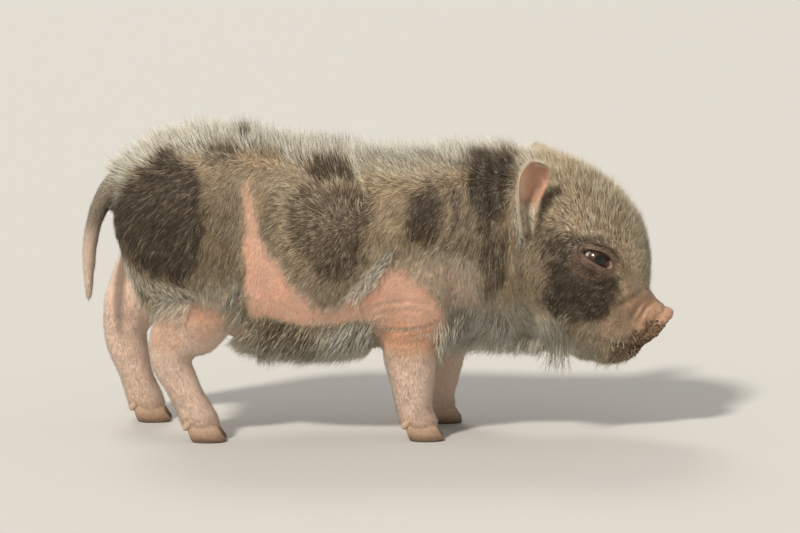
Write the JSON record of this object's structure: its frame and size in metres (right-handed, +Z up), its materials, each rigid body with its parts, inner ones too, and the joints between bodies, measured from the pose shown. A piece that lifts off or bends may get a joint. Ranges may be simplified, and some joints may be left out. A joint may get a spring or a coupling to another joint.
{
  "type": "standing pot bellied piglet",
  "caption": "Life-size still model of a young pot bellied pig, standing with lowered head, bristly patched coat and hanging tail",
  "frame": {"origin": "centre of the bounding box's footprint, on the floor under the soles", "axes": "+X from rump to snout, +Y to the animal's left, +Z up"},
  "size_m": [0.266, 0.0834, 0.142],
  "materials": {
    "dewclaw_front_left_inner": "pale horn, satin",
    "dewclaw_front_left_outer": "pale horn, satin",
    "dewclaw_front_right_inner": "pale horn, satin",
    "dewclaw_front_right_outer": "pale horn, satin",
    "dewclaw_hind_left_inner": "pale horn, satin",
    "dewclaw_hind_left_outer": "pale horn, satin",
    "dewclaw_hind_right_inner": "pale horn, satin",
    "dewclaw_hind_right_outer": "pale horn, satin",
    "ear_left": "thin pink hide with pale down",
    "ear_right": "thin pink hide with pale down",
    "eye_left": "wet dark eye",
    "eye_right": "wet dark eye",
    "head": "bristly coat in buff, white and charcoal patches over pink hide",
    "hoof_front_left_inner": "pale horn, satin",
    "hoof_front_left_outer": "pale horn, satin",
    "hoof_front_right_inner": "pale horn, satin",
    "hoof_front_right_outer": "pale horn, satin",
    "hoof_hind_left_inner": "pale horn, satin",
    "hoof_hind_left_outer": "pale horn, satin",
    "hoof_hind_right_inner": "pale horn, satin",
    "hoof_hind_right_outer": "pale horn, satin",
    "leg_front_left": "pink hide with short white hair",
    "leg_front_right": "pink hide with short white hair",
    "leg_hind_left": "pink hide with short white hair",
    "leg_hind_right": "pink hide with short white hair",
    "neck": "bristly pale coat",
    "snout": "bare pink hide with dried mud",
    "tail": "bristly pale coat",
    "torso": "bristly coat in buff, white and charcoal patches over pink hide"
  },
  "bodies": {
    "root": {"dewclaw_front_left_inner": "dewclaw_front_left_inner", "dewclaw_front_left_outer": "dewclaw_front_left_outer", "dewclaw_front_right_inner": "dewclaw_front_right_inner", "dewclaw_front_right_outer": "dewclaw_front_right_outer", "dewclaw_hind_left_inner": "dewclaw_hind_left_inner", "dewclaw_hind_left_outer": "dewclaw_hind_left_outer", "dewclaw_hind_right_inner": "dewclaw_hind_right_inner", "dewclaw_hind_right_outer": "dewclaw_hind_right_outer", "ear_left": "ear_left", "ear_right": "ear_right", "eye_left": "eye_left", "eye_right": "eye_right", "head": "head", "hoof_front_left_inner": "hoof_front_left_inner", "hoof_front_left_outer": "hoof_front_left_outer", "hoof_front_right_inner": "hoof_front_right_inner", "hoof_front_right_outer": "hoof_front_right_outer", "hoof_hind_left_inner": "hoof_hind_left_inner", "hoof_hind_left_outer": "hoof_hind_left_outer", "hoof_hind_right_inner": "hoof_hind_right_inner", "hoof_hind_right_outer": "hoof_hind_right_outer", "leg_front_left": "leg_front_left", "leg_front_right": "leg_front_right", "leg_hind_left": "leg_hind_left", "leg_hind_right": "leg_hind_right", "neck": "neck", "snout": "snout", "tail": "tail", "torso": "torso"}
  },
  "joints": []
}
